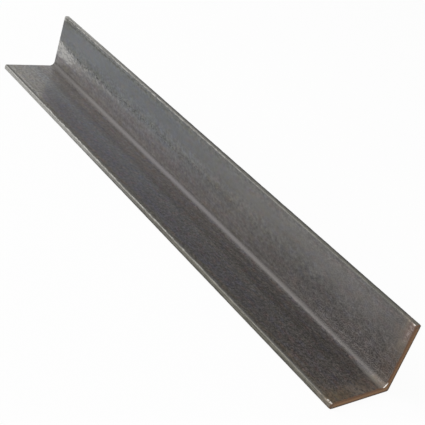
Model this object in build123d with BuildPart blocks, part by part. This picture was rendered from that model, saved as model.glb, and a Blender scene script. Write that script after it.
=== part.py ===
from build123d import *
import os

# Hot-rolled equal-leg steel angle, sawn square at both ends. All sizes are in millimetres.
# The bar lies on its flat leg: X runs along the bar, Y across the flat leg towards the heel, Z is up.
# The origin is under the middle of the bar, halfway across the flat leg, on the ground.

leg_width = 40.0        # outside width of each leg, from the heel's corner to the toe
leg_thickness = 3.0     # thickness of each leg, the same from root to toe
bar_length = 340.0      # between the two sawn ends
root_radius = 3.2       # hollow rounding where the two inner faces meet
toe_radius = 1.0        # rounding of the inner edge of each toe
heel_radius = 1.0       # rounding of the outer corner, as the groove of the last rolls leaves it

# The rounding of a toe or of the heel stays within the leg's thickness.
largest_edge_radius = 0.9 * leg_thickness

# The six corners of the section, as (Y, Z), before they are rounded.
heel_y = leg_width / 2
toe_y = heel_y - leg_width
inner_y = heel_y - leg_thickness
heel_corner = (heel_y, 0)
flat_toe_bottom = (toe_y, 0)
flat_toe_top = (toe_y, leg_thickness)
root_corner = (inner_y, leg_thickness)
upright_toe_front = (inner_y, leg_width)
upright_toe_back = (heel_y, leg_width)

with BuildPart() as angle_bar:
    # The rolled section, drawn across the bar at its lower-X sawn end.
    with BuildSketch(Plane.YZ.offset(-bar_length / 2)) as section:
        with BuildLine():
            Polyline(
                heel_corner,
                flat_toe_bottom,
                flat_toe_top,
                root_corner,
                upright_toe_front,
                upright_toe_back,
                close=True,
            )
        make_face()

        # The hollow root first, while each corner is still where it was drawn.
        fillet(section.vertices().sort_by_distance(root_corner)[0], radius=root_radius)

        # Each toe keeps its outer edge square and is rounded on its inner edge.
        inner_toe_edges = [
            section.vertices().sort_by_distance(flat_toe_top)[0],
            section.vertices().sort_by_distance(upright_toe_front)[0],
        ]
        fillet(inner_toe_edges, radius=min(toe_radius, largest_edge_radius))

        fillet(
            section.vertices().sort_by_distance(heel_corner)[0],
            radius=min(heel_radius, largest_edge_radius),
        )

    # Rolled straight through, from one sawn end to the other.
    extrude(amount=bar_length)

angle_bar.part.label = "angle_bar"

os.makedirs("parts", exist_ok=True)
export_step(angle_bar.part, "parts/angle_bar.step")
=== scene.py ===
"""Looks of one length of hot-rolled equal-leg steel angle: mill scale, worn toes, rusty sawn ends, painted light and
shade, and its studio.
"""

import logging
import math
from dataclasses import dataclass
from enum import Enum

import bpy
import numpy as np
from mathutils import Matrix, Vector


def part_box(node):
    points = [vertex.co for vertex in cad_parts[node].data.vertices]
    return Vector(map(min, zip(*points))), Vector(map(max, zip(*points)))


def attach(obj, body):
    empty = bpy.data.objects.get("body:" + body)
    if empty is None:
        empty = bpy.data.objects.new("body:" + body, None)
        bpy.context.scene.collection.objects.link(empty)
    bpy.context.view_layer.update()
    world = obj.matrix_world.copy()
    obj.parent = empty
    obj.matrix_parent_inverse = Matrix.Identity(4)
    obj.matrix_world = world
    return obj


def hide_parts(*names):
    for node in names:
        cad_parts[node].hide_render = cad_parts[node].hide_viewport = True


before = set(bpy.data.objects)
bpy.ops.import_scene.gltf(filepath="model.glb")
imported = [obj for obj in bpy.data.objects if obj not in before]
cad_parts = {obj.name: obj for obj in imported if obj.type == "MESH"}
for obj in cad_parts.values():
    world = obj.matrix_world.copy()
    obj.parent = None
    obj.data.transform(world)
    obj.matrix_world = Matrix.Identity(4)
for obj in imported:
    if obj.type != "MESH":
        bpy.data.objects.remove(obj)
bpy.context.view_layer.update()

MM = 0.001                      # one millimetre, in metres
NODE = "angle_bar"              # the bar's CAD node
SLOT = "hot_rolled_steel"       # its material slot in the record
BODY = "root"                   # the one body of a part with no joints
SIDE_MAP = "girth_and_side"     # the bar's UV map: millimetres round the section, and the number of the side
HALF_LENGTH = 170.0             # from the bar's middle to either cut, in millimetres
MIX_COLOURS = (6, 7)            # the Mix node's two colour inputs, by number, because they share their names
MIX_RESULT = 2                  # and its colour output

Colour = tuple[float, float, float]
Paint = Colour | bpy.types.NodeSocket

log = logging.getLogger("steel_angle")


def add_object(name: str, data: bpy.types.ID) -> bpy.types.Object:
    """Puts a mesh, a lamp or a camera into the scene."""
    made = bpy.data.objects.new(name, data)
    bpy.context.scene.collection.objects.link(made)
    return made


# ---------------------------------------------------------------- shader maths


class Value:
    """A number that varies over a surface: a node's output, whose Python operators add Math nodes."""

    def __init__(self, tree: "Tree", socket: bpy.types.NodeSocket) -> None:
        """Wraps a socket of a tree."""
        self.tree = tree
        self.socket = socket

    def __add__(self, other: "Value | float") -> "Value":
        """Sum."""
        return self.tree.math("ADD", self, other)

    __radd__ = __add__

    def __sub__(self, other: "Value | float") -> "Value":
        """Difference."""
        return self.tree.math("SUBTRACT", self, other)

    def __rsub__(self, other: "Value | float") -> "Value":
        """Difference from a plain number."""
        return self.tree.math("SUBTRACT", other, self)

    def __mul__(self, other: "Value | float") -> "Value":
        """Product."""
        return self.tree.math("MULTIPLY", self, other)

    __rmul__ = __mul__

    def __truediv__(self, other: "Value | float") -> "Value":
        """Quotient."""
        return self.tree.math("DIVIDE", self, other)

    def __abs__(self) -> "Value":
        """Size without its sign."""
        return self.tree.math("ABSOLUTE", self)

    def most(self, other: "Value | float") -> "Value":
        """The larger of this and another."""
        return self.tree.math("MAXIMUM", self, other)

    def rise(self, start: float, end: float) -> "Value":
        """A smooth step from 0 where this is start to 1 where it is end; with end below start it is a fall.

        Args:
            start: the value up to which the result is 0.
            end: the value from which the result is 1.

        Returns:
            The mask, from 0 to 1.
        """
        low, high = min(start, end), max(start, end)
        node = self.tree.node(
            "ShaderNodeMapRange",
            {"interpolation_type": "SMOOTHSTEP"},
            {"Value": self, "From Min": low, "From Max": high},
        )
        up = Value(self.tree, node.outputs["Result"])
        return up if start < end else 1 - up

    def stripe(self, middle: float, half_width: float) -> "Value":
        """A soft stripe: 1 where this is middle, falling to 0 at half_width to either side."""
        return abs(self - middle).rise(half_width, 0.0)


class Tree:
    """A material's, light's or world's node tree, filled through one method that makes any node."""

    def __init__(self, owner: bpy.types.ID) -> None:
        """Empties the owner's tree and keeps it."""
        owner.use_nodes = True
        self.nodes = owner.node_tree.nodes
        self.links = owner.node_tree.links
        self.nodes.clear()

    def node(self, kind: str, settings: dict | None = None, inputs: dict | None = None) -> bpy.types.Node:
        """Makes a node.

        Args:
            kind: the node's Blender type.
            settings: its properties, set first.
            inputs: for each socket, by name or number, a plain value, or a Value or socket to link from.

        Returns:
            The node.
        """
        made = self.nodes.new(kind)
        for name, value in (settings or {}).items():
            setattr(made, name, value)
        for name, value in (inputs or {}).items():
            source = value.socket if isinstance(value, Value) else value
            if isinstance(source, bpy.types.NodeSocket):
                self.links.new(source, made.inputs[name])
            else:
                made.inputs[name].default_value = source
        return made

    def math(self, operation: str, *values: "Value | float") -> Value:
        """A Math node's result on one, two or three numbers."""
        node = self.node("ShaderNodeMath", {"operation": operation}, dict(enumerate(values)))
        return Value(self, node.outputs[0])

    def blend(
        self, first: Paint, second: Paint, mask: "Value | float", mode: str = "MIX", clamp: bool = True
    ) -> bpy.types.NodeSocket:
        """Two colours mixed by a mask.

        Args:
            first: the colour where the mask is 0, as three numbers or a socket.
            second: the colour where it is 1.
            mask: from 0 to 1.
            mode: how the second colour acts on the first.
            clamp: whether a mask outside 0 to 1 is brought back to it.

        Returns:
            The mixed colour's socket.
        """
        sides = ((*side, 1.0) if isinstance(side, tuple) else side for side in (first, second))
        node = self.node(
            "ShaderNodeMix",
            {"data_type": "RGBA", "blend_type": mode, "clamp_factor": clamp},
            {"Factor": mask, **dict(zip(MIX_COLOURS, sides))},
        )
        return node.outputs[MIX_RESULT]

    def noise(self, place: bpy.types.NodeSocket, grain: Colour, detail: float = 2.0, shift: float = 0.0) -> Value:
        """Soft noise, from 0 to 1 about a middle of 0.5.

        Args:
            place: coordinates in metres.
            grain: the grain's length along X, Y and Z, in millimetres.
            detail: how many finer layers it has.
            shift: moves the pattern, so that two noises of one grain differ.

        Returns:
            The noise.
        """
        scaled = self.node(
            "ShaderNodeMapping",
            {"vector_type": "POINT"},
            {"Vector": place, "Scale": tuple(1 / (size * MM) for size in grain), "Location": (shift, shift, shift)},
        )
        node = self.node(
            "ShaderNodeTexNoise",
            {"noise_dimensions": "3D"},
            {"Vector": scaled.outputs[0], "Scale": 1.0, "Detail": detail},
        )
        return Value(self, node.outputs["Fac"])


# ---------------------------------------------------------------- the rolled bar


class Side(Enum):
    """The sides of the bar that wear differently. The number is stored in the bar's UV map."""

    INNER = 0       # the two faces inside the angle, and the hollow root between them
    TOE = 1         # the narrow faces at the ends of the legs
    OUTER = 2       # the two faces outside the angle, and the heel
    SAWN = 3        # the cut ends


@dataclass(frozen=True)
class LatticeNoise:
    """Smooth random relief on a sheet that is wrapped round the bar.

    Random heights stand on a lattice. Between them the height is mixed with weights 6t^5 - 15t^4 + 10t^3 of the
    place t within a cell, which leaves no crease. Around the bar the lattice closes on itself.
    """

    seed: int
    along_cell: float       # millimetres
    around_cells: int

    def heights(self, along: np.ndarray, around: np.ndarray) -> np.ndarray:
        """Relief from 0 to 1.

        Args:
            along: distance along the bar for each station, in millimetres.
            around: distance round the section for each ring point, as a share of the whole way round.

        Returns:
            An array of stations by ring points.
        """
        rows = int(np.ptp(along) / self.along_cell) + 2
        lattice = np.random.default_rng(self.seed).random((rows, self.around_cells))
        row = (along - along.min()) / self.along_cell
        column = around * self.around_cells
        row_cell, column_cell = row.astype(int), column.astype(int)
        row_share = self._ease(row - row_cell)[:, None]
        column_share = self._ease(column - column_cell)[None, :]
        wrapped = [(column_cell + ahead) % self.around_cells for ahead in (0, 1)]
        corners = [[lattice[row_cell + ahead][:, columns] for columns in wrapped] for ahead in (0, 1)]
        first, second = (left + (right - left) * column_share for left, right in corners)
        return first + (second - first) * row_share

    @staticmethod
    def _ease(share: np.ndarray) -> np.ndarray:
        """The mixing weight 6t^5 - 15t^4 + 10t^3."""
        return share**3 * (share * (share * 6 - 15) + 10)


@dataclass(frozen=True)
class Corner:
    """A rounded corner of the section: a quarter circle that meets both of its faces."""

    y: float            # where the two faces would meet, in millimetres
    z: float
    facing: float       # which way that lies from the circle's centre, in degrees from the Y axis towards Z
    radius: float
    steps: int          # in the part of the circle that a chain takes

    def arc(self, start: float, end: float) -> np.ndarray:
        """Part of the circle: the corner + radius (u(facing + a) - sqrt 2 u(facing)), where u is the unit vector.

        Args:
            start: the first a, in degrees.
            end: the last a.

        Returns:
            The points, n by 2 as (Y, Z).
        """
        angles = self.facing + np.linspace(start, end, self.steps + 1)
        return (self.y, self.z) + self.radius * (self._unit(angles) - math.sqrt(2) * self._unit(self.facing))

    @staticmethod
    def _unit(degrees: np.ndarray | float) -> np.ndarray:
        """Unit vectors at these angles from the Y axis."""
        return np.stack([np.cos(np.radians(degrees)), np.sin(np.radians(degrees))], axis=-1)


@dataclass
class RolledSection:
    """The section that the rolls leave: two legs of one thickness, a hollow root, rounded toes and heel.

    Sizes are in millimetres, Y and Z are the bar's. The flat leg runs from its toe at low Y to the heel at high Y,
    and the upright leg rises from the heel. Each public method gives a chain of points, n by 2 as (Y, Z).
    """

    toe_y: float                # outer face of the flat leg's toe
    heel_y: float               # back of the upright leg
    top_z: float                # end of the upright leg's toe
    thickness: float = 3.0
    root_radius: float = 3.2
    toe_radius: float = 1.0     # inner edge of each toe
    edge_radius: float = 0.15   # outer edge of each toe
    heel_radius: float = 1.0
    leg_steps: int = 32         # steps along each leg's inner face
    root_steps: int = 10
    toe_steps: int = 3          # steps round half of a toe's inner edge
    edge_steps: int = 2         # steps round half of a toe's outer edge
    heel_steps: int = 4

    def __post_init__(self) -> None:
        """Places the six corners."""
        inner_y = self.heel_y - self.thickness
        self.root = Corner(inner_y, self.thickness, -45, self.root_radius, self.root_steps)
        self.heel = Corner(self.heel_y, 0, 315, self.heel_radius, self.heel_steps)
        self.flat_inner = Corner(self.toe_y, self.thickness, 135, self.toe_radius, self.toe_steps)
        self.flat_outer = Corner(self.toe_y, 0, 225, self.edge_radius, self.edge_steps)
        self.upright_inner = Corner(inner_y, self.top_z, 135, self.toe_radius, self.toe_steps)
        self.upright_outer = Corner(self.heel_y, self.top_z, 45, self.edge_radius, self.edge_steps)

    def inner(self) -> np.ndarray:
        """From the flat leg's toe, over its top, round the root and up to the upright leg's toe."""
        root = self.root.arc(-45, 45)
        return self._chain(self.leg_steps, self.flat_inner.arc(0, -45), root, self.upright_inner.arc(45, 0))

    def outer(self) -> np.ndarray:
        """From the flat leg's toe, along its underside, round the heel and up the back of the upright leg."""
        inner_steps = 2 * (self.toe_steps + self.leg_steps) + self.root_steps
        face_steps = (inner_steps - 2 * self.edge_steps - self.heel_steps) // 2
        heel = self.heel.arc(-45, 45)
        return self._chain(face_steps, self.flat_outer.arc(0, 45), heel, self.upright_outer.arc(-45, 0))

    def flat_toe(self) -> np.ndarray:
        """Down the end of the flat leg, from its inner edge to its outer one."""
        return self._chain(self.toe_steps, self.flat_inner.arc(0, 45), self.flat_outer.arc(-45, 0))

    def upright_toe(self) -> np.ndarray:
        """Across the end of the upright leg, from its inner edge to its outer one."""
        return self._chain(self.toe_steps, self.upright_inner.arc(0, -45), self.upright_outer.arc(45, 0))

    @staticmethod
    def _chain(steps: int, *arcs: np.ndarray) -> np.ndarray:
        """Joins arcs by straight runs, whose points are nearer together at the ends.

        A run from a to b goes through a + (b - a) (0.3 t + 0.35 (1 - cos pi t)), with t from 0 to 1.

        Args:
            steps: how many steps each run has.
            arcs: points of the arcs, in order.

        Returns:
            The chain's points.
        """
        t = np.linspace(0, 1, steps + 1)[1:-1, None]
        share = 0.3 * t + 0.35 * (1 - np.cos(np.pi * t))
        parts = [arcs[0]]
        for arc in arcs[1:]:
            start = parts[-1][-1]
            parts += [start + (arc[0] - start) * share, arc]
        return np.concatenate(parts)


@dataclass
class AngleBar:
    """The rolled bar between its two sawn ends: one closed surface that stands for the CAD solid.

    The section is carried straight along X. Where the steel is uneven the surface lies inside the CAD's, never
    outside it. Sizes are in millimetres.
    """

    node: str = NODE
    name: str = "rolled_angle"
    stations: int = 540             # cross-sections between the two broken rims
    rim_radius: float = 0.08        # the sharp rim of a sawn end, broken by handling
    rim_steps: int = 3
    ripple: float = 0.03            # slow waves that the rolls leave in the faces
    roll_lines: float = 0.02        # low ridges along the bar
    nibble: float = 0.12            # how deep the toes' edges are nibbled
    nibble_reach: float = 0.7       # how far from an edge that reaches
    blunt: float = 0.32             # how much the near cut's two toe corners are knocked back
    blunt_length: float = 1.3       # along the bar
    blunt_width: float = 2.4        # round the toe, from its middle

    def __post_init__(self) -> None:
        """Takes the bar's length and the section's place from the CAD node."""
        low, high = (np.array(corner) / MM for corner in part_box(self.node))
        self.start, self.end = float(low[0]), float(high[0])
        self.section = RolledSection(toe_y=float(low[1]), heel_y=float(high[1]), top_z=float(high[2]))
        self.inner, self.outer = self.section.inner(), self.section.outer()
        self.flat_toe, self.upright_toe = self.section.flat_toe(), self.section.upright_toe()

    def build(self) -> bpy.types.Object:
        """Makes the bar's object, with its UV map.

        Returns:
            The object, at the origin.
        """
        ring, sides, girth = self._ring()
        along = self._along()
        surface = self._surface(along, ring)
        caps = [self._cap(surface[index], along[index]) for index in (0, -1)]
        faces, uv = self._skin(surface.shape[:2], sides, girth)
        points = [surface.reshape(-1, 3)]
        for index, (inside, cap_faces, cap_uv) in enumerate(caps):
            count = sum(len(part) for part in points)
            rim = index * (len(along) - 1) * len(ring)
            ids = np.concatenate([rim + np.arange(len(ring)), count + np.arange(len(inside))])
            ordered = ids[cap_faces]
            flip = slice(None, None, -1 if index == 0 else 1)
            points.append(inside)
            faces.append(ordered[:, flip])
            uv.append(cap_uv[:, flip])
        return self._object(np.concatenate(points), np.concatenate(faces), np.concatenate(uv))

    def _ring(self) -> tuple[np.ndarray, np.ndarray, np.ndarray]:
        """Joins the four chains into the closed outline of the section.

        Returns:
            The points, the side that each step is on, and for each step the girth at its start and end: distance
            along its chain from the chain's middle, so 0 at the root, at the heel and midway across a toe. It grows
            up the upright leg, and on a toe towards the outer edge.
        """
        chains = [
            (self.inner, Side.INNER, 1),
            (self.upright_toe, Side.TOE, 1),
            (self.outer[::-1], Side.OUTER, -1),
            (self.flat_toe[::-1], Side.TOE, -1),
        ]
        points, sides, girth = [], [], []
        for chain, side, sense in chains:
            length = np.concatenate([[0.0], np.cumsum(np.hypot(*np.diff(chain, axis=0).T))])
            middle = sense * (length - length[-1] / 2)
            points.append(chain[:-1])
            sides.append(np.full(len(chain) - 1, side.value))
            girth.append(np.stack([middle[:-1], middle[1:]], axis=1))
        return np.concatenate(points), np.concatenate(sides), np.concatenate(girth)

    def _along(self) -> np.ndarray:
        """X of every cross-section: even between the rims, and eased through each broken rim."""
        rim = self.rim_radius * (1 - np.cos(np.linspace(0, np.pi / 2, self.rim_steps + 1)))
        even = np.linspace(self.start + self.rim_radius, self.end - self.rim_radius, self.stations)
        return np.concatenate([self.start + rim[:-1], even, self.end - rim[-2::-1]])

    def _surface(self, along: np.ndarray, ring: np.ndarray) -> np.ndarray:
        """Carries the ring along the bar and lets it in where the steel is uneven.

        A point is the ring's, moved against the outward normal by ripple + lines + nibble + rim. The rim's share is
        a quarter circle, r - sqrt(r^2 - (r - d)^2) at a distance d from the end.

        Args:
            along: X of the cross-sections.
            ring: points of the section.

        Returns:
            Points by station and ring place, n by m by 3.
        """
        steps = np.roll(ring, -1, axis=0) - ring
        length = np.hypot(*steps.T)
        heading = steps / length[:, None]
        heading = heading + np.roll(heading, 1, axis=0)
        heading = heading / np.hypot(*heading.T)[:, None]
        inward = np.stack([heading[:, 1], -heading[:, 0]], axis=1)

        whole = length.sum()
        place = np.concatenate([[0.0], np.cumsum(length)[:-1]]) / whole
        depth = self.ripple * LatticeNoise(seed=3, along_cell=42.0, around_cells=16).heights(along, place)
        depth += self.roll_lines * LatticeNoise(seed=5, along_cell=130.0, around_cells=60).heights(along, place)
        depth += self._nibbles(along, place, whole) + self._blunting(along, place, whole)
        from_end = np.minimum(along - self.start, self.end - along).clip(0, self.rim_radius)
        short = self.rim_radius - from_end
        depth += (self.rim_radius - np.sqrt(self.rim_radius**2 - short**2))[:, None]

        across = ring[None] + inward[None] * depth[..., None]
        x = np.broadcast_to(along[:, None, None], (*depth.shape, 1))
        return np.concatenate([x, across], axis=2)

    def _corners(self, place: np.ndarray) -> np.ndarray:
        """Where the toes' four edges lie, as shares of the way round: each is where one of the chains starts."""
        chains = (self.inner, self.upright_toe, self.outer, self.flat_toe)
        return place[np.cumsum([0] + [len(chain) - 1 for chain in chains])[:-1]]

    def _nibbles(self, along: np.ndarray, place: np.ndarray, whole: float) -> np.ndarray:
        """Small bites along the four edges of the toes: rough^3 fading by exp(-(distance / reach)^2) from an edge."""
        gap = np.abs(place[None] - self._corners(place)[:, None])
        gap = np.minimum(gap, 1 - gap).min(axis=0) * whole
        coarse = LatticeNoise(seed=7, along_cell=4.0, around_cells=40).heights(along, place)
        fine = LatticeNoise(seed=8, along_cell=1.3, around_cells=90).heights(along, place)
        rough = 0.6 * coarse + 0.4 * fine
        return self.nibble * rough**3 * np.exp(-((gap / self.nibble_reach) ** 2))

    def _blunting(self, along: np.ndarray, place: np.ndarray, whole: float) -> np.ndarray:
        """Knocked corners: (1 - distance from the end / length)^2 times exp(-(distance from a toe / width)^4)."""
        corners = self._corners(place)
        upright, flat = (corners[1] + corners[2]) / 2, (corners[3] + 1) / 2
        gap = np.minimum(np.abs(place - upright), np.abs(place - flat)) * whole
        share = (1 - (self.end - along) / self.blunt_length).clip(0) ** 2
        return self.blunt * share[:, None] * np.exp(-((gap / self.blunt_width) ** 4))[None]

    def _skin(
        self, shape: tuple[int, int], sides: np.ndarray, girth: np.ndarray
    ) -> tuple[list[np.ndarray], list[np.ndarray]]:
        """Quads of the long surface, facing outwards, and their UV: girth and side.

        Args:
            shape: the numbers of stations and of ring points.
            sides: the side of each ring step.
            girth: the girth at each step's start and end.

        Returns:
            A list with the faces and one with the UV, for the caps' to be added.
        """
        rows, columns = shape
        grid = np.arange(rows * columns).reshape(rows, columns)
        beside = np.roll(grid, -1, axis=1)
        faces = np.stack([grid[:-1], grid[1:], beside[1:], beside[:-1]], axis=2).reshape(-1, 4)
        u = np.stack([girth[:, 0], girth[:, 0], girth[:, 1], girth[:, 1]], axis=1)
        uv = np.stack([u, np.broadcast_to(sides[:, None], u.shape)], axis=2)
        return [faces], [np.tile(uv, (rows - 1, 1, 1))]

    def _cap(self, rim: np.ndarray, x: float) -> tuple[np.ndarray, np.ndarray, np.ndarray]:
        """A sawn end: a strip as wide as the legs are thick, bent round the root.

        A point of the strip lies at share v of the straight line from the inner chain's point i to the outer's.
        The strip's own ends follow the toes. Its border is the rim, whose points it shares.

        Args:
            rim: the ring's points there.
            x: where the cap stands.

        Returns:
            The points inside the border, the quads facing up X, numbered with the rim's points first, and their UV.
        """
        m, n = len(self.inner) - 1, len(self.flat_toe) - 1
        first, toe_end = m, m + n
        inner_ids = np.arange(m + 1)
        outer_ids = (toe_end + m - np.arange(m + 1)) % len(rim)
        v = np.linspace(0, 1, n + 1)[None, 1:-1, None]
        inner, outer = rim[inner_ids][1:-1, None], rim[outer_ids][1:-1, None]
        inside = (inner + (outer - inner) * v).reshape(-1, 3)
        inside[:, 0] = x

        grid = np.empty((m + 1, n + 1), int)
        grid[:, 0] = inner_ids
        grid[:, n] = outer_ids
        grid[m] = first + np.arange(n + 1)
        grid[0] = (len(rim) - np.arange(n + 1)) % len(rim)
        grid[1:-1, 1:-1] = len(rim) + np.arange(len(inside)).reshape(m - 1, n - 1)
        faces = np.stack([grid[:-1, :-1], grid[:-1, 1:], grid[1:, 1:], grid[1:, :-1]], axis=2).reshape(-1, 4)
        across = np.linspace(0, self.section.thickness, n + 1)
        u = np.stack([across[:-1], across[1:], across[1:], across[:-1]], axis=1)
        uv = np.stack([u, np.full(u.shape, Side.SAWN.value)], axis=2)
        return inside, faces, np.tile(uv, (m, 1, 1))

    def _object(self, points: np.ndarray, faces: np.ndarray, uv: np.ndarray) -> bpy.types.Object:
        """Puts the arrays into a smooth-shaded mesh object, in metres."""
        mesh = bpy.data.meshes.new(self.name)
        mesh.from_pydata(points * MM, [], faces)
        layer = mesh.uv_layers.new(name=SIDE_MAP)
        layer.uv.foreach_set("vector", uv.reshape(-1).astype(np.float32))
        mesh.polygons.foreach_set("use_smooth", np.ones(len(faces), bool))
        mesh.update()
        return add_object(self.name, mesh)

    def dress(self, bar: bpy.types.Object) -> None:
        """Gives the bar its material and says what it stands for."""
        bar.data.materials.append(HotRolledSteel().material())
        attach(bar, BODY)
        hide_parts(self.node)


# ---------------------------------------------------------------- finishes


@dataclass(frozen=True)
class Finish:
    """What steel looks like where one finish covers it."""

    colour: Colour
    roughness: float
    metallic: float


COOL_SCALE = Finish((0.151, 0.159, 0.166), 0.36, 0.85)      # smooth blue-grey mill scale
WARM_SCALE = Finish((0.173, 0.169, 0.162), 0.37, 0.85)      # the same, cooled faster
BROWN_SCALE = Finish((0.183, 0.174, 0.167), 0.40, 0.84)     # thinner scale with oxide in it
VIOLET_SCALE = Finish((0.122, 0.117, 0.125), 0.36, 0.85)    # thick scale with a violet cast
ROOT_SCALE_AND_PAINTED_SHADE = Finish((0.070, 0.065, 0.062), 0.40, 0.85)      # scale gathered in the hollow root, and painted shade that dims the root's highlight
DULL_OXIDE = Finish((0.160, 0.132, 0.112), 0.46, 0.70)      # oxide near the rusty end
PIT_SCALE = Finish((0.052, 0.050, 0.044), 0.55, 0.55)       # pits, cracks and pressed-in scale
EDGE_SCALE = Finish((0.092, 0.089, 0.083), 0.45, 0.80)      # scale gathered on a rounded edge
PAINTED_REFLECTION_PALE = Finish((0.205, 0.198, 0.180), 0.42, 0.82)      # pale paint for a painted reflection of the bright surroundings on the flat leg's far end
PALE_STEEL = Finish((0.370, 0.363, 0.348), 0.42, 0.82)      # scale nearly gone
BRIGHT_STEEL = Finish((0.700, 0.670, 0.630), 0.32, 1.0)     # bare metal
TOE_PALE = Finish((0.306, 0.301, 0.281), 0.46, 0.78)        # toe rolled nearly bare; where it pales the toes' far end it is also painted light
TOE_DARK = Finish((0.138, 0.132, 0.116), 0.46, 0.78)        # toe with its scale on; laid more towards the near end, where it is also painted shade
TOE_EDGE_PAINTED_SHADE = Finish((0.036, 0.035, 0.032), 0.50, 0.75)       # painted shade along the outer edge of a toe
SAWN_RUST = Finish((0.228, 0.121, 0.054), 0.85, 0.05)       # orange-brown rust on a cut
DARK_RUST = Finish((0.120, 0.058, 0.027), 0.82, 0.05)       # older rust
BLOOM_RUST = Finish((0.185, 0.135, 0.096), 0.60, 0.40)      # thin rust that creeps over the scale
TAN_SCALE = Finish((0.215, 0.185, 0.150), 0.50, 0.60)       # rubbed scale with rust in the scratches

BLACK: Colour = (0.0, 0.0, 0.0)
RED_FILM: Colour = (1.20, 0.96, 0.95)       # thin films of oxide, which tint what is under them
OLIVE_FILM: Colour = (1.03, 1.01, 0.82)
BLUE_FILM: Colour = (0.95, 0.98, 1.17)
DAMP_FILM: Colour = (0.86, 0.83, 0.70)      # wetted rust near the cut
OLD_FILM: Colour = (0.83, 0.76, 0.58)       # rust on the upright leg's cut, older than on the flat leg's


class Layers:
    """A surface built up finish by finish, and its relief."""

    def __init__(self, tree: Tree, ground: Finish) -> None:
        """Starts with one finish all over."""
        self.tree = tree
        self.colour: Paint = ground.colour
        self.roughness: Value | float = ground.roughness
        self.metallic: Value | float = ground.metallic
        self.height: Value | float = 0.0        # millimetres

    def lay(self, finish: Finish, mask: Value) -> None:
        """Covers what is there with a finish, where the mask is 1."""
        self.colour = self.tree.blend(self.colour, finish.colour, mask)
        self.roughness = mask * (finish.roughness - self.roughness) + self.roughness
        self.metallic = mask * (finish.metallic - self.metallic) + self.metallic

    def stain(self, film: Colour, mask: Value) -> None:
        """Tints what is there with a clear film, where the mask is 1."""
        self.colour = self.tree.blend(self.colour, film, mask, mode="MULTIPLY")

    def shade(self, amount: Value) -> None:
        """Multiplies the colour by an amount, as a mix that goes from black through the colour and past it."""
        self.colour = self.tree.blend(BLACK, self.colour, amount, clamp=False)

    def roughen(self, amount: Value) -> None:
        """Multiplies the roughness."""
        self.roughness = amount * self.roughness

    def raise_by(self, height: Value) -> None:
        """Adds to the relief, in millimetres."""
        self.height = height + self.height

    def finish(self) -> None:
        """Links everything to one Principled shader and the material's output."""
        bump = self.tree.node("ShaderNodeBump", {}, {"Strength": 1.0, "Distance": MM, "Height": self.height})
        shader = self.tree.node(
            "ShaderNodeBsdfPrincipled",
            {},
            {
                "Base Color": self.colour,
                "Roughness": self.roughness,
                "Metallic": self.metallic,
                "Normal": bump.outputs["Normal"],
            },
        )
        self.tree.node("ShaderNodeOutputMaterial", {}, {"Surface": shader.outputs["BSDF"]})


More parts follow.
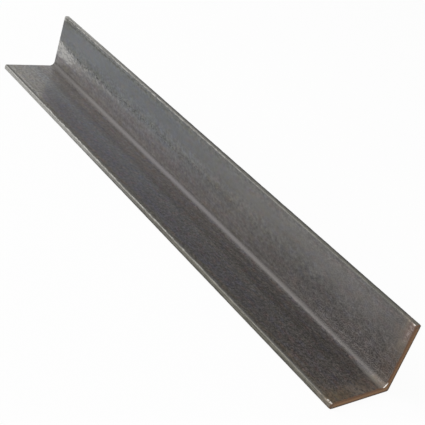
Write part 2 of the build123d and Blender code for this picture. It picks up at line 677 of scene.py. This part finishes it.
class HotRolledSteel(Layers):
    """The bar's one material: zones of mill scale inside and outside the angle, worn toes and rusty cuts, with painted
    light and shade.

    All lengths here are millimetres: x runs along the bar, and the near cut is at 170. On the inner side girth is 0 in
    the middle of the root, rises up the upright leg and falls along the flat leg, to the toes' edges at 35 to 36.
    """

    def __init__(self) -> None:
        """Starts the node tree with the coordinates that all patterns read."""
        self.steel = bpy.data.materials.new(SLOT)
        super().__init__(Tree(self.steel), COOL_SCALE)
        self.place = self.tree.node("ShaderNodeTexCoord").outputs["Object"]
        metres = self.tree.node("ShaderNodeSeparateXYZ", {}, {0: self.place})
        self.x = Value(self.tree, metres.outputs["X"]) / MM
        self.y = Value(self.tree, metres.outputs["Y"]) / MM
        self.z = Value(self.tree, metres.outputs["Z"]) / MM
        around = self.tree.node("ShaderNodeUVMap", {"uv_map": SIDE_MAP}).outputs["UV"]
        split = self.tree.node("ShaderNodeSeparateXYZ", {}, {0: around})
        self.girth = Value(self.tree, split.outputs["X"])
        self.side = Value(self.tree, split.outputs["Y"])
        self.inner, self.toe, self.outer, self.sawn = (self._on(side) for side in Side)
        upright = self.girth.rise(-0.5, 0.5)
        self.front = self.inner * upright           # inner face of the upright leg
        self.top = self.inner * (1 - upright)       # inner face of the flat leg
        self.high = self.z.rise(20.0, 22.0)         # tells the upright leg's toe from the flat leg's

    def _on(self, side: Side) -> Value:
        """1 on one side of the bar, 0 on the others."""
        return self.tree.math("COMPARE", self.side, float(side.value), 0.25)

    def _noise(self, along: float, across: float, detail: float = 2.0, shift: float = 0.0) -> Value:
        """Noise about 0, mostly within 0.3 of it.

        Args:
            along: the grain's length along the bar.
            across: its width across the bar.
            detail: how many finer layers it has.
            shift: tells noises of one grain apart.

        Returns:
            The noise.
        """
        return self.tree.noise(self.place, (along, across, across), detail, shift) - 0.5

    def material(self) -> bpy.types.Material:
        """Lays every finish and closes the tree.

        Returns:
            The finished material.
        """
        inside = (self._scale, self._oxide, self._streaks, self._pebbles, self._pit_row, self._worn_patch, self._root)
        edges = (self._inner_edges, self._toes, self._outer_faces, self._rust_bloom, self._bare_corners)
        for add_layers in (*inside, *edges, self._sawn_ends):
            add_layers()
        self.finish()
        return self.steel

    def _scale(self) -> None:
        """Broad zones of mill scale: cool high on the upright leg, brown near the root, violet far out on the flat;
        painted shade and a painted reflection on the flat.
        """
        x, girth, front, top, inner = self.x, self.girth, self.front, self.top, self.inner
        wavy_x = x + self._noise(45, 14, 3) * 90
        wavy_girth = girth + self._noise(30, 6, 3, 5) * 8
        self.lay(WARM_SCALE, wavy_x.rise(-60, 70))
        self.lay(BROWN_SCALE, inner * abs(wavy_girth).rise(18, 9))
        self.lay(VIOLET_SCALE, top * wavy_girth.rise(-14, -28))
        self.lay(DULL_OXIDE, inner * wavy_x.rise(80, 170) * 0.32)
        # painted reflection: a pale triangle with a slanting edge on the flat leg's far end, where the bright
        # surroundings past the upright leg show
        inside = top * (x + girth * 1.4).rise(-166.5, -171.5)
        self.lay(PAINTED_REFLECTION_PALE, inside * (0.02 + girth.rise(-9, -29) * 0.80))
        # painted reflection carried along the toe side of the flat leg's far end
        self.lay(PALE_STEEL, top * girth.stripe(-33.2, 1.6) * x.rise(-116, -132) * 0.32)
        # painted shade: the flat leg darker all over, and more towards the near end as the light falls off along the
        # bar
        self.shade(1 - top * (0.07 + x.rise(-130, 100) * 0.30))
        # lighter towards the near end, and painted shade in a band just outside the painted reflection
        near_lift_and_painted_shade = x.rise(125, 160) * 0.12 - x.stripe(-133, 11) * 0.11
        self.shade(1 + top * (near_lift_and_painted_shade - wavy_girth.stripe(-11.8, 5) * 0.23))
        low = girth.rise(20, 14) * girth.rise(2, 10) * x.rise(30, 150) * 0.16
        high = girth.rise(14, 20) * (x.rise(110, 158) + x.rise(-105, -150) * 0.8) * 0.14
        self.shade(1 - front * (low + high))
        self.shade(1 + front * girth.stripe(20, 5.5) * x.stripe(10, 150) * 0.16)
        middle = girth.stripe(19, 12) * x.stripe(-60, 110) * 0.14
        near = x.stripe(142, 30) * (0.10 + girth.stripe(12, 7) * 0.08)
        self.shade(1 + front * (middle + near))

    def _oxide(self) -> None:
        """Thin films of oxide in the scale, from the size of a fingernail down to a seed."""
        x, girth, front, top = self.x, self.girth, self.front, self.top
        more = top * x.rise(-135, -110)
        self.stain(RED_FILM, self._noise(5, 3, 4, 81).rise(-0.03, 0.20) * (0.30 + more * 0.45))
        olive_share = 0.45 - front * x.rise(30, 120) * 0.25
        self.stain(OLIVE_FILM, self._noise(4.2, 2.6, 4, 83).rise(-0.03, 0.20) * olive_share)
        self.stain(BLUE_FILM, self._noise(6, 3.4, 4, 85).rise(-0.03, 0.20) * (0.45 + more * 0.50))
        low = girth.stripe(9, 5.5) * x.rise(60, -20) * 0.30
        self.stain(BLUE_FILM, front * (x.rise(80, 150) * 0.15).most(low))
        edge = top * girth.rise(-31, -33) * x.rise(-134, -112)
        corner = front * girth.rise(29, 34) * x.rise(-154, -166)
        far_edge = top * girth.stripe(-35.2, 1)
        near = top * girth.rise(-22, -33) * x.rise(60, 140) * 0.7
        high_edge = front * girth.stripe(33.6, 1.8) * x.rise(60, -40) * 0.5
        self.stain(OLIVE_FILM, edge.most(corner).most(far_edge).most(near).most(high_edge))

    def _streaks(self) -> None:
        """Faint streaks along the bar from rolling, a fine mottle, and the grain of the scale."""
        x, girth, top, outer = self.x, self.girth, self.top, self.outer
        streaks = self._noise(60, 1.1, 3, 11)
        near_root = abs(girth).rise(20, 8)
        calm = self.front * girth.stripe(27.5, 8) * 0.8
        speckled = top * (x + girth * 1.4).rise(-166, -172) * girth.rise(-4, -16)
        edge = top * girth.stripe(-33.8, 2.4)
        fine = self._noise(1.9, 1.5, 2, 3)
        blotch = self._noise(16, 7, 2, 13)
        self.shade(1 + streaks * (0.15 + near_root * (1 - outer) * 0.4) + blotch * 0.22)
        flecks = self._noise(2, 1.3, 3, 15)
        self.shade(1 + fine * (1.05 - calm - outer * 0.35 + speckled * 0.9 + edge * 0.9))
        self.shade(1 + flecks * top * (1 + x.rise(-60, 60) * 0.3))
        grit = self._noise(0.9, 0.8, 1, 17)
        self.shade(1 + grit * top * (0.3 + x.rise(-50, 40) * 1.2 + x.rise(90, 130) * 0.7))
        self.roughen(1 + fine * 0.3 + blotch * 0.3)
        self.raise_by(streaks * 0.02 + fine * 0.02)

    def _pebbles(self) -> None:
        """Orange-peel grain that grows towards one end, strongest halfway up the upright leg."""
        girth, front = self.girth, self.front
        belly = front * girth.stripe(8, 16)
        rough = self.inner * self.x.rise(30, 165) * (0.25 + front * 0.24 + belly * 0.38)
        pebbles = self._noise(1.5, 1.3, 0, 91).stripe(0, 0.13) - 0.42
        self.shade(1 + pebbles * rough * (0.50 + girth.rise(12, 6) * 0.20))
        self.raise_by(pebbles * rough * 0.05)

    def _pit_row(self) -> None:
        """A broken row of dark pits along the upright leg with a pale streak below it, and a few thin dark seams."""
        x, inner = self.x, self.inner
        row = self.girth + self._noise(22, 30, 2, 21) * 4
        fade = x.rise(110, -130)
        dashes = self._noise(2, 0.9, 3, 23).rise(0, 0.09)
        pits = row.stripe(17.2, 2.4) * dashes * (0.10 + fade * 0.90) * inner
        self.lay(PIT_SCALE, pits * 0.90)
        self.stain(OLIVE_FILM, row.stripe(18.6, 3) * x.rise(90, 0) * inner * 0.28)
        flecks = self._noise(3.2, 2.4, 3, 25).rise(0, 0.10)
        self.lay(PALE_STEEL, row.stripe(15.6, 3.6) * flecks * x.rise(-20, -130) * inner * 0.65)
        self.lay(PALE_STEEL, row.stripe(13.8, 3) * fade * inner * 0.17)
        seams = row.stripe(4.3, 1) * 0.8 + row.stripe(-4.8, 0.9) * 0.7 + row.stripe(-9, 1.3)
        seams = seams * self._noise(9, 1, 3, 27).rise(-0.08, 0.06) * x.rise(0, 100)
        self.lay(PIT_SCALE, seams * inner * 0.5)
        self.raise_by((pits + seams) * -0.04)

    def _worn_patch(self) -> None:
        """Scale rubbed off the upright leg at the far end, flecked, sharp below and slanting down to a long tail."""
        x, girth, front = self.x, self.girth, self.front
        ragged = self._noise(3.6, 1.8, 3, 31) * 7
        below_top = 19.8 - (x + HALF_LENGTH) * 0.25 - girth + ragged
        shape = front * below_top.rise(-0.8, 1.2) * (girth + ragged * 0.3).rise(7.8, 9.2)
        flecks = self._noise(2.8, 1.1, 3, 35).rise(-0.05, 0.12)
        strength = x.rise(-140, -160) * 0.50 + x.rise(-122, -144) * 0.40
        self.lay(PALE_STEEL, shape * strength * (0.35 + flecks * 1.15))
        tail = front * x.rise(-85, -140) * girth.stripe(12.5, 4.5) * flecks
        self.lay(PALE_STEEL, tail * 0.42)
        corner = front * x.rise(-165, -167.5) * girth.rise(32, 34)
        self.lay(PALE_STEEL, corner * 0.45)

    def _root(self) -> None:
        """The hollow root: a dark line of scale and painted shade, and beside it rubbed scale and painted highlight
        that widen to one end.
        """
        x, girth, inner = self.x, self.girth, self.inner
        # the streak by the near cut: partly rubbed scale, partly painted highlight where the root's highlight widens
        streak = girth.stripe(-2.1, 2.2) * x.rise(143, 162)
        self.lay(PALE_STEEL, inner * (streak * 0.60).most(girth.stripe(-3.4, 2) * 0.10))
        self.stain(OLIVE_FILM, inner * girth.stripe(-0.5, 4) * x.rise(150, 165) * 0.45)
        open_side = girth.rise(0.5, -0.5) * x.rise(20, 150) * 0.5
        # dark line in the root: partly gathered scale, partly painted shade that dims the root's highlight
        self.lay(ROOT_SCALE_AND_PAINTED_SHADE, inner * abs(girth - 0.5).rise(3, 0.5) * (1 - open_side))
        # painted shade: the root's highlight dimmed towards the far end
        self.shade(1 - inner * girth.stripe(0.5, 3) * x.rise(-105, -150) * 0.22)
        self.stain(BLUE_FILM, inner * girth.stripe(0.5, 2.8) * x.stripe(-20, 120) * 0.35)
        # painted highlight: lighter flanks that widen the root's highlight, and a lighter patch by the near cut
        below = girth.stripe(-2.1, 1.6) * x.stripe(85, 110) * 0.36
        above = girth.stripe(3.6, 2.8) * x.rise(30, 130) * 0.22
        rubbed = girth.stripe(-0.9, 1.9) * x.rise(152, 162) * x.rise(174, 164) * 0.34
        self.shade(1 + inner * (below + above + rubbed))

    def _inner_edges(self) -> None:
        """The rounded inner edges of the toes: rubbed pale in dashes and dimmed by painted shade, with a dark line of
        scale beside them.
        """
        x, girth, front, top, inner = self.x, self.girth, self.front, self.top, self.inner
        gap = abs(girth)
        broken = self._noise(3.4, 1.3, 3, 41).rise(-0.12, 0.10)
        worn = x.rise(-30, -110) * front
        self.lay(PIT_SCALE, gap.stripe(33.8, 1.4) * inner * broken * (0.20 + worn * 0.60))
        far = top * x.rise(-112, -128)
        self.lay(EDGE_SCALE, gap.stripe(35.2, 1) * inner * (broken * 0.5 + far).most(0.30))
        self.lay(PIT_SCALE, gap.stripe(35.1, 0.7) * far * 0.55)
        corner = front * girth.rise(28, 33) * x.rise(-152, -164)
        self.lay(PIT_SCALE, corner * (0.10 + broken * 0.35))
        rubbed = gap.rise(35.2, 35.7) * inner
        dashes = self._noise(3.6, 1.2, 3, 43).rise(-0.08, 0.14)
        flat_share = top * x.rise(-128, -100) * x.rise(110, 30) * (0.05 + dashes * 0.75)
        upright_share = front * (x.rise(80, -30) * 0.7 + 0.1) * dashes * 0.50
        self.lay(EDGE_SCALE, rubbed)
        # painted shade that dims the highlight on the rounded edges, along parts of the bar
        upright_painted_shade = x.rise(50, 130) * 0.25 + x.rise(40, -20) * 0.12 + x.rise(-125, -150) * 0.14
        flat_painted_shade = x.rise(-70, -105) * 0.20
        self.shade(1 - rubbed * (front * upright_painted_shade + top * flat_painted_shade))
        self.lay(TOE_PALE, rubbed * (flat_share + upright_share + far * 0.25))
        self.lay(PALE_STEEL, gap.stripe(34.8, 0.9) * worn * dashes * 0.35)
        far_front = front * x.rise(-125, -150)
        self.lay(PIT_SCALE, far_front * gap.stripe(35.3, 0.6) * (0.25 + broken * 0.35))
        self.lay(PALE_STEEL, far_front * gap.stripe(34.2, 1.9) * x.rise(-167.9, -169.2))

    def _toes(self) -> None:
        """The narrow faces: pale at the far end and darker along the bar, partly wear and partly painted light;
        painted shade darkens the upright toe and blackens both toes' outer edges.
        """
        x, girth, toe, high = self.x, self.girth, self.toe, self.high
        wavy_x = x + self._noise(25, 20, 2, 51) * 50
        low = 1 - high
        inner_part = girth.rise(0, -0.7)
        # pale toes darkened towards the near end: partly wear, partly painted light that fades along the bar
        self.lay(TOE_PALE, toe)
        dark = wavy_x.rise(-110, 30) * low + wavy_x.rise(-160, -20) * high * (1 - inner_part * 0.45)
        self.lay(TOE_DARK, toe * dark)
        # painted shade: the upright leg's toe, which faces away from the light, darker
        self.shade(1 - toe * high * (0.16 + wavy_x.rise(-150, -60) * (1 - inner_part) * 0.36))
        self.shade(1 - toe * inner_part * (0.16 + high * x.rise(-60, 60) * 0.18))
        inner_edge = toe * girth.rise(-0.6, -1.1)
        self.lay(EDGE_SCALE, inner_edge * (low * (0.42 - x.stripe(-10, 70) * 0.3) + high * 0.30))
        # painted shade: the toes' outer edges blackened towards the near end, more on the upright leg's
        self.lay(TOE_EDGE_PAINTED_SHADE, toe * girth.rise(0.1, 0.7) * wavy_x.rise(-140, -20) * (0.5 + high * 0.5))
        specks = self._noise(2.4, 0.9, 3, 53)
        lines = self._noise(14, 0.45, 2, 55)
        self.shade(1 + toe * (specks * 1.2 + lines * x.rise(-40, 60) * 1.8))
        self.stain(OLIVE_FILM, toe * wavy_x.rise(-60, 120) * 0.35)

    def _outer_faces(self) -> None:
        """Back, underside and heel: streaked scale, thin scratches, rust freckles, and bare metal along the heel."""
        outer = self.outer
        across = abs(self.girth)
        self.lay(BROWN_SCALE, outer * self._noise(110, 8, 2, 101).rise(-0.12, 0.20) * 0.55)
        self.lay(VIOLET_SCALE, outer * self._noise(90, 10, 2, 103).rise(-0.02, 0.22) * 0.55)
        self.lay(PIT_SCALE, outer * self._noise(6, 0.8, 3, 105).rise(0.10, 0.22) * 0.40)
        self.lay(PALE_STEEL, outer * self._noise(90, 0.45, 1, 107).rise(0.17, 0.24) * 0.30)
        rubbed = across.rise(2.2, 0.3).most(across.rise(38.4, 39.5) * 0.8)
        self.lay(PALE_STEEL, outer * rubbed * self._noise(5, 1.6, 4, 109).rise(-0.12, 0.12) * 0.65)
        damp = self._noise(34, 16, 3, 111).rise(0.02, 0.22)
        freckles = self._noise(2.1, 1.8, 3, 113).rise(0.04, 0.16)
        self.lay(BLOOM_RUST, outer * damp * (0.15 + freckles * 0.60))
        self.lay(DARK_RUST, outer * damp * freckles * self._noise(1.2, 1.1, 2, 115).rise(0.02, 0.12) * 0.7)

    def _rust_bloom(self) -> None:
        """Thin rust that creeps from the near cut over the last few millimetres of the faces."""
        x, girth, front, top, toe, high = self.x, self.girth, self.front, self.top, self.toe, self.high
        covered = 1 - self.sawn
        to_end = HALF_LENGTH - x
        ragged = to_end + self._noise(6, 5, 3, 61) * 14
        patches = self._noise(1.7, 1.3, 3, 63).rise(-0.14, 0.16)
        share = 0.15 + patches * (0.20 + top * 0.25)
        self.lay(BLOOM_RUST, ragged.rise(13, 3) * share * covered)
        self.stain(DAMP_FILM, top * girth.rise(-17, -25) * to_end.rise(10, 4))
        self.lay(TAN_SCALE, top * girth.stripe(-15, 7) * to_end.rise(7, 2.5) * patches * 0.55)
        tan = front * girth.rise(17, 22) * to_end.rise(9, 3)
        dashes = self._noise(3, 0.8, 2, 75).rise(-0.04, 0.08)
        self.lay(TAN_SCALE, toe * to_end.rise(16, 3) * dashes * (0.9 - high * 0.45))
        marks = self.tree.noise(self.place, (1.3, 6, 6), 2, 67) - 0.5
        self.lay(TAN_SCALE, tan * (0.35 + marks * 2))
        self.shade(1 - toe * high * to_end.rise(12, 3) * 0.2)
        chips = front * girth.rise(23, 27) * to_end.stripe(2.2, 1.8)
        self.lay(PALE_STEEL, chips * self._noise(1.9, 0.7, 2, 69).rise(0, 0.10) * 0.6)
        self.stain(RED_FILM, front * girth.rise(23, 29) * to_end.rise(6, 2.5) * 0.6)
        spots = top * girth.stripe(-32.6, 2.4) * x.stripe(135, 12)
        self.lay(BLOOM_RUST, spots * patches * 0.35)
        self.lay(DARK_RUST, (to_end + self._noise(1.5, 1.5, 2, 65) * 1.2).rise(1.1, 0.4) * covered * 0.9)

    def _bare_corners(self) -> None:
        """Bare metal where the rim of the near cut is knocked: at both toes and across the root."""
        x, girth, front, inner = self.x, self.girth, self.front, self.inner
        chipped = self._noise(1, 0.7, 1, 45).rise(-0.16, 0.08)
        toe_corner = abs(girth).rise(35.1, 35.6) * inner * (x - front * 0.9).rise(165.8, 167)
        self.lay(BRIGHT_STEEL, toe_corner * x.rise(169.7, 169.2) * chipped * (0.7 - front * 0.28))
        root_corner = inner * girth.stripe(0.4, 2.4).rise(0, 0.5)
        self.lay(BRIGHT_STEEL, root_corner * x.rise(169.4, 169.65) * 0.86)

    def _sawn_ends(self) -> None:
        """Rust on the cuts, darker along the inner edge, streaked along the saw's marks."""
        girth, sawn = self.girth, self.sawn
        marks = self.tree.noise(self.place, (5, 0.35, 6), 2, 71) - 0.5
        cloud = self._noise(3, 2.2, 3, 73)
        self.lay(SAWN_RUST, sawn)
        self.stain(OLD_FILM, sawn * self.z.rise(2.6, 4.5))
        old = (marks + cloud * 1.6 + 0.20).rise(0.1, 0.9) * 0.5
        edges = (girth.rise(1.3, 0.3) * 0.75).most(girth.rise(1.6, 2.6) * 0.8)
        self.lay(DARK_RUST, sawn * old.most(edges))
        self.lay(PIT_SCALE, sawn * girth.rise(2.2, 2.8) * 0.5)
        self.shade(1 - sawn * girth.rise(1.2, 2.2) * 0.3)
        tips = self.z.rise(37.6, 39.4).most(self.y.rise(-17.6, -19.4))
        self.lay(PIT_SCALE, sawn * tips * 0.6)
        self.raise_by(marks * sawn * 0.05)


# ---------------------------------------------------------------- studio


@dataclass(frozen=True)
class Softbox:
    """A square area lamp aimed at the bar. Sizes are in metres, power in watts."""

    name: str
    place: tuple[float, float, float]
    aim: tuple[float, float, float]
    size: float
    power: float

    def light(self) -> None:
        """Adds the lamp to the scene."""
        data = bpy.data.lights.new(self.name, "AREA")
        data.shape = "SQUARE"
        data.size = self.size
        data.energy = self.power
        lamp = add_object(self.name, data)
        lamp.location = self.place
        lamp.rotation_euler = (Vector(self.aim) - Vector(self.place)).to_track_quat("-Z", "Y").to_euler()


@dataclass
class Studio:
    """A plain white studio: floor, surroundings and soft lamps."""

    floor_half: float = 6.0         # metres
    floor_drop: float = 0.02        # millimetres below the bar, so that the two surfaces don't coincide
    floor_colour: Colour = (0.84, 0.84, 0.83)
    floor_glow: float = 0.94        # how much of the floor is plain white to the eye and in reflections
    ambient: float = 0.50           # light from all round
    lamps: tuple[Softbox, ...] = (
        Softbox("key_softbox", (-0.80, -0.80, 0.62), (0.0, 0.0, 0.0), 1.3, 15.0),
        Softbox("end_softbox", (1.10, 0.15, 0.70), (0.1, 0.0, 0.0), 0.7, 4.0),
    )

    def build(self) -> None:
        """Makes the floor, the world and the lamps."""
        self._floor()
        self._world()
        for lamp in self.lamps:
            lamp.light()

    @staticmethod
    def _seen(tree: Tree) -> Value:
        """1 for rays that reach the eye directly, by a reflection or through glass."""
        path = tree.node("ShaderNodeLightPath")
        rays = [Value(tree, path.outputs[f"Is {kind} Ray"]) for kind in ("Camera", "Glossy", "Transmission")]
        return rays[0].most(rays[1]).most(rays[2])

    def _floor(self) -> None:
        """A flat sheet that keeps the bar's shadow and melts into the white surroundings."""
        half, z = self.floor_half, -self.floor_drop * MM
        mesh = bpy.data.meshes.new("studio_floor")
        mesh.from_pydata([(-half, -half, z), (half, -half, z), (half, half, z), (-half, half, z)], [], [(0, 1, 2, 3)])
        floor = add_object("studio_floor", mesh)
        material = bpy.data.materials.new("studio_floor")
        tree = Tree(material)
        paint = tree.node("ShaderNodeBsdfDiffuse", {}, {"Color": (*self.floor_colour, 1.0)})
        white = tree.node("ShaderNodeEmission", {}, {"Strength": 1.0})
        mixed = tree.node(
            "ShaderNodeMixShader",
            {},
            {0: self._seen(tree) * self.floor_glow, 1: paint.outputs[0], 2: white.outputs[0]},
        )
        tree.node("ShaderNodeOutputMaterial", {}, {"Surface": mixed.outputs[0]})
        mesh.materials.append(material)

    def _world(self) -> None:
        """White to the eye and in reflections, and a plain level of light on everything."""
        world = bpy.data.worlds.new("studio_world")
        tree = Tree(world)
        strength = self._seen(tree) * (1.0 - self.ambient) + self.ambient
        air = tree.node("ShaderNodeBackground", {}, {"Color": (1.0, 1.0, 1.0, 1.0), "Strength": strength})
        tree.node("ShaderNodeOutputWorld", {}, {"Surface": air.outputs[0]})
        bpy.context.scene.world = world


@dataclass(frozen=True)
class Viewpoint:
    """The camera: where it looks, from how far, and its three angles in degrees."""

    aim: tuple[float, float, float] = (0.01582, 0.02580, 0.0)
    distance: float = 0.52977
    azimuth: float = 44.3006
    elevation: float = 27.8492
    roll: float = 19.3604
    lens: float = 77.117            # millimetres, on a sensor 36 mm wide
    sensor: float = 36.0
    nearest: float = 0.01           # what is nearer than this isn't drawn, in metres

    def place(self) -> None:
        """Adds the camera and makes it the scene's.

        It looks along f = (-sin az cos el, cos az cos el, -sin el). Its right is the level right turned by the roll
        about f, and its up is right cross f.
        """
        azimuth, elevation, roll = (math.radians(a) for a in (self.azimuth, self.elevation, self.roll))
        level = Vector((math.cos(azimuth), math.sin(azimuth), 0.0))
        flat_ahead = Vector((-math.sin(azimuth), math.cos(azimuth), 0.0))
        ahead = flat_ahead * math.cos(elevation) - Vector((0.0, 0.0, math.sin(elevation)))
        right = level * math.cos(roll) + level.cross(ahead) * math.sin(roll)
        up = right.cross(ahead)
        turn = Matrix((right, up, -ahead)).transposed().to_4x4()

        data = bpy.data.cameras.new("studio_camera")
        data.sensor_width = self.sensor
        data.lens = self.lens
        data.clip_start = self.nearest
        camera = add_object("studio_camera", data)
        camera.matrix_world = Matrix.Translation(Vector(self.aim) - ahead * self.distance) @ turn
        bpy.context.scene.camera = camera


def main() -> None:
    """Builds the studio, the camera and the bar, in that order."""
    logging.basicConfig(level=logging.INFO, format="%(name)s: %(message)s")
    view = bpy.context.scene.view_settings
    view.view_transform = "Standard"
    Viewpoint().place()
    Studio().build()
    maker = AngleBar()
    bar = maker.build()
    maker.dress(bar)
    log.info("%s: %d points, %d faces", bar.name, len(bar.data.vertices), len(bar.data.polygons))


if __name__ == "__main__":
    main()
